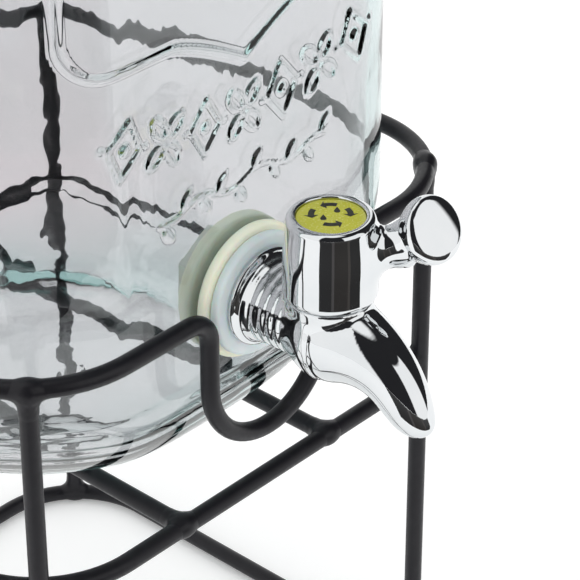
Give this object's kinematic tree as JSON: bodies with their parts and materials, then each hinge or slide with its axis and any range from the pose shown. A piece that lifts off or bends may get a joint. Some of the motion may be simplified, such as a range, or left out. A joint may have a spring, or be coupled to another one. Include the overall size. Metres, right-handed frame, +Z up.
{
  "type": "beverage dispenser",
  "caption": "Rounded-square glass drink jar with a screw lid and a quarter-turn chrome tap, standing in a welded black wire frame",
  "frame": {"origin": "middle of the stand's footprint, on the surface it stands on", "axes": "+Z up, the tap points to -Y, +X to the right seen from the front"},
  "size_m": [0.206, 0.2683, 0.4834],
  "materials": {
    "black_wire": "satin black powder coat",
    "jar_glass": "clear pressed glass with a pale green tint",
    "lid_seal": "soft off-white seal",
    "lid_metal": "satin tinplate",
    "band_metal": "satin tinplate",
    "tap_chrome": "bright plated plastic",
    "clear_silicone": "bluish translucent silicone",
    "cream_rubber": "cream translucent rubber",
    "white_plastic": "white moulded plastic",
    "plug_plastic": "smooth white moulded plastic",
    "black_rubber": "black nitrile",
    "screw_steel": "zinc-plated steel",
    "disc_print": "yellow-green printed disc"
  },
  "bodies": {
    "stand": {"ground_ring": "black_wire", "lower_ring": "black_wire", "top_ring": "black_wire", "leg_front_left": "black_wire", "leg_front_right": "black_wire", "leg_back_left": "black_wire", "leg_back_right": "black_wire", "support_bar_left": "black_wire", "support_bar_right": "black_wire", "weld_beads_top": "black_wire", "weld_beads_lower": "black_wire", "weld_beads_ground": "black_wire", "weld_beads_bars": "black_wire"},
    "jar": {"glass_jar": "jar_glass", "tap_body": "tap_chrome", "outer_washer": "clear_silicone", "outer_gasket": "cream_rubber", "inner_gasket": "cream_rubber", "shank_nut": "white_plastic"},
    "lid": {"lid_plate": "lid_metal", "lid_seal": "lid_seal"},
    "band": {"screw_band": "band_metal"},
    "handle": {"tap_handle": "tap_chrome", "handle_disc": "disc_print", "handle_screw": "screw_steel", "rotor_plug": "plug_plastic", "plug_oring_upper": "black_rubber", "plug_oring_lower": "black_rubber"}
  },
  "joints": [
    {"name": "jar_lift", "type": "slide", "parent": "stand", "child": "jar", "axis": [0, 0, 1], "range_m": [0, 0.12]},
    {"name": "lid_lift", "type": "slide", "parent": "jar", "child": "lid", "axis": [0, 0, 1], "range_m": [0, 0.06]},
    {"name": "band_turn", "type": "hinge", "parent": "lid", "child": "band", "pos_m": [0, 0, 0.47], "axis": [0, 0, 1], "range_deg": [0, 540]},
    {"name": "tap_turn", "type": "hinge", "parent": "jar", "child": "handle", "pos_m": [0, -0.1252, 0.23], "axis": [0, 0, 1], "range_deg": [0, 90]}
  ]
}
